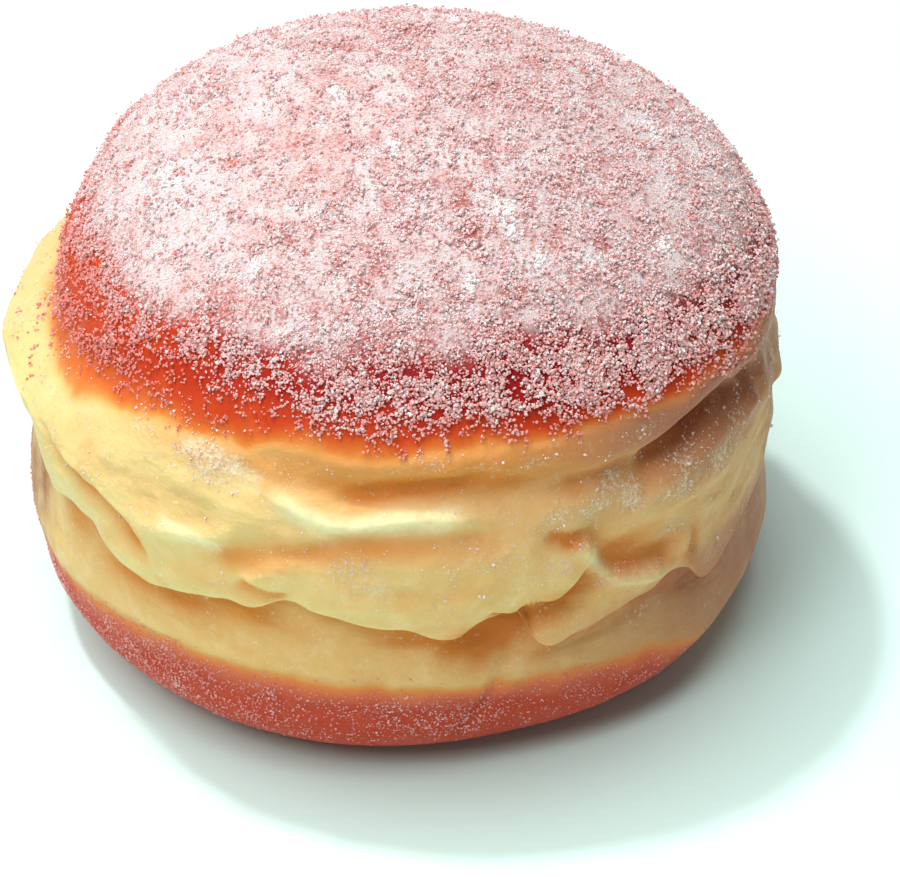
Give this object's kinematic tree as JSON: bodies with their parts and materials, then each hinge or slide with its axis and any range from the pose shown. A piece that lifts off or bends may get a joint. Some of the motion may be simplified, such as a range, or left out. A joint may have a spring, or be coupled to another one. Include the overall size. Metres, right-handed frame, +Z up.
{
  "type": "jelly filled doughnut",
  "caption": "Whole filled doughnut, a tall round bun of fried dough with a browned dome, a pale creased waist and a browned flat base.",
  "frame": {"origin": "centre of the bounding box at the flat underside, the level it rests on", "axes": "+Z up through the crown of the dome; -Y towards the side shown, the waist's longest hanging lip; +X to its right"},
  "size_m": [0.0884, 0.0878, 0.0664],
  "materials": {
    "fried_dough": "fried dough: browned and sugared on the dome, pale on the waist, browned round the base; matte_plastic stands in for it"
  },
  "bodies": {
    "root": {"doughnut": "fried_dough"}
  },
  "joints": []
}
